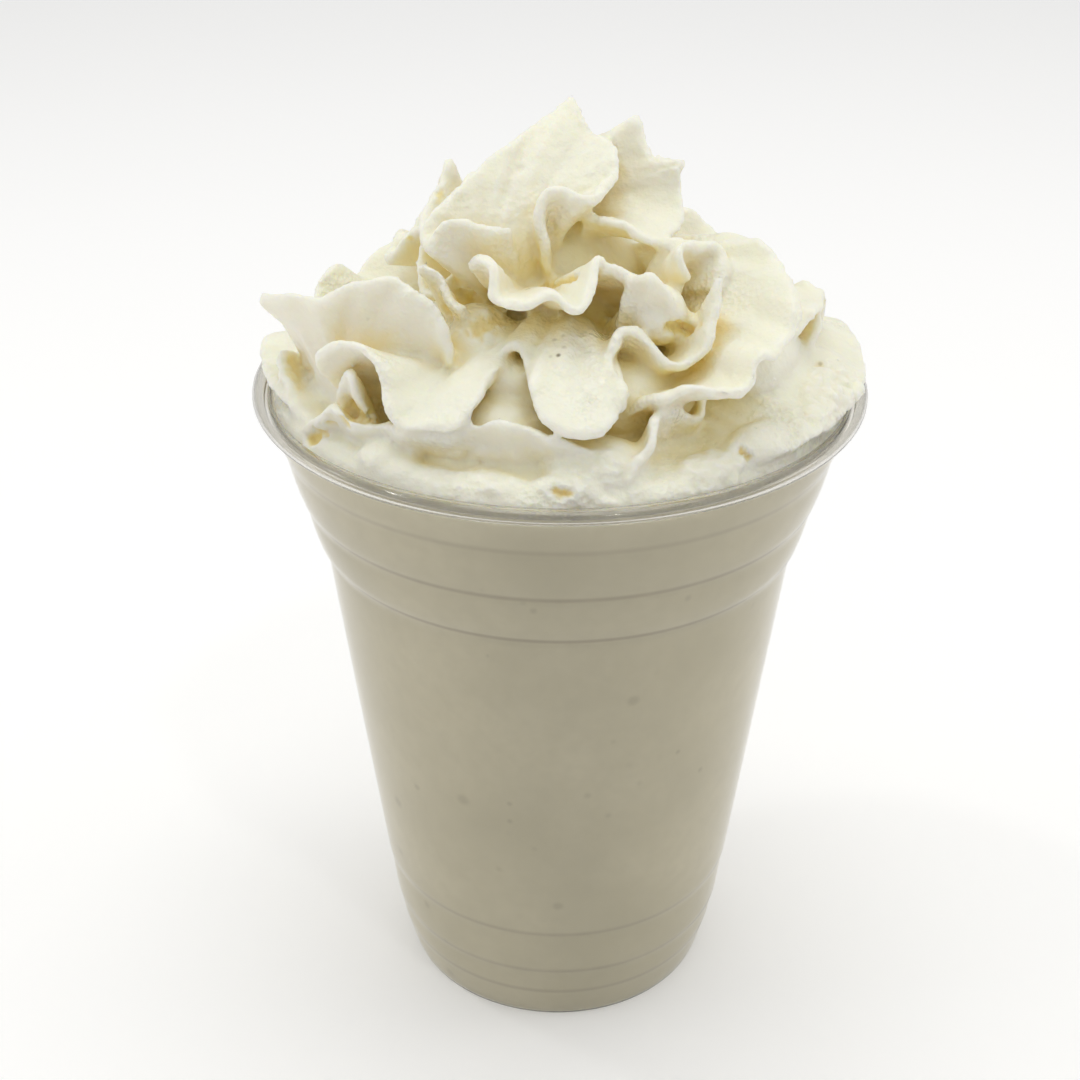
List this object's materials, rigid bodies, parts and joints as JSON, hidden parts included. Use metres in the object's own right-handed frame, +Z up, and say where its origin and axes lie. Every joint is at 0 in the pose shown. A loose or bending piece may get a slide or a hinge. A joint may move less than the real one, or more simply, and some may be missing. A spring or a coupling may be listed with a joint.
{
  "type": "vanilla milkshake",
  "caption": "Thick pale milkshake filling a clear flared plastic cup with a rolled rim, topped with a tall ruffled heap of whipped cream.",
  "frame": {"origin": "centre of the ring that the cup stands on", "axes": "+Z up along the cup's axis, -Y towards the side that the picture shows as the front, +X to its right"},
  "size_m": [0.098, 0.098, 0.1559],
  "materials": {
    "clear_plastic": "clear, glossy",
    "thick_milk": "smooth, slightly moist",
    "cream": "soft satin"
  },
  "bodies": {
    "root": {"cup": "clear_plastic", "milkshake": "thick_milk", "whipped_cream": "cream"}
  },
  "joints": []
}
